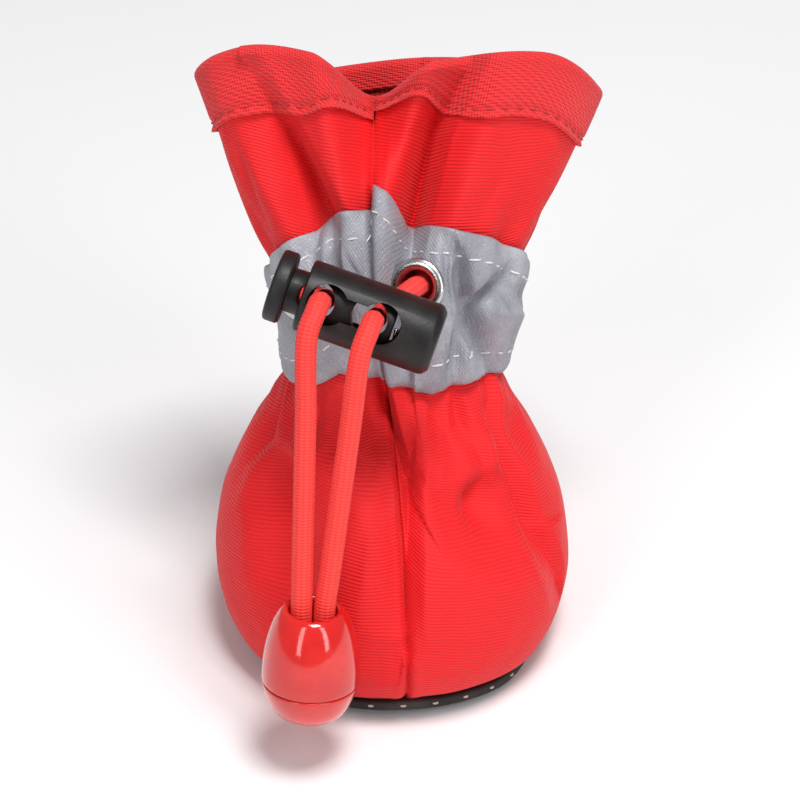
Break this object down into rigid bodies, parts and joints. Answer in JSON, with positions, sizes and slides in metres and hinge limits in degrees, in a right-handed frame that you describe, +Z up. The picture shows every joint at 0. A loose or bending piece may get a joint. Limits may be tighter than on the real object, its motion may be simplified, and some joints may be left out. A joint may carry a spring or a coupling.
{
  "type": "dog bootie",
  "caption": "Soft red nylon dog bootie with a drawcord tunnel, sprung cord lock, flared collar and thin grip sole.",
  "frame": {"origin": "on the ground under the middle of the sole, in the plane of the sole's flat bottom", "axes": "+Z up, toe towards -Y, heel towards +Y, +X to the right as seen from the front"},
  "size_m": [0.0603, 0.0714, 0.0915],
  "materials": {
    "sole": "fine matte tread",
    "lining": "soft woven lining over thin foam",
    "nylon": "fine horizontal rib, slight sheen",
    "reflective": "retroreflective, fine sparkle",
    "binding": "coarse diagonal weave",
    "eyelet": "bright",
    "lock": "satin moulded",
    "spring": "bright wire",
    "elastic": "braided round elastic",
    "cord_end": "glossy, slightly translucent",
    "knot": "rough melted cord"
  },
  "bodies": {
    "bootie": {"outsole": "sole", "insole": "lining", "upper": "nylon", "reflective_band": "reflective", "collar_hem": "binding", "eyelet_left": "eyelet", "eyelet_right": "eyelet", "lock_barrel": "lock", "lock_spring": "spring", "cord_left": "elastic", "cord_right": "elastic", "cord_end": "cord_end", "cord_end_lid": "cord_end", "cord_knot": "knot"},
    "button": {"lock_button": "lock"}
  },
  "joints": [
    {"name": "button_press", "type": "slide", "parent": "bootie", "child": "button", "axis": [0.9266, -0.2641, -0.2677], "range_m": [0, 0.0018], "stiffness_N_per_m": 600, "springref_m": -0.002, "deforming": ["lock_spring"]}
  ]
}
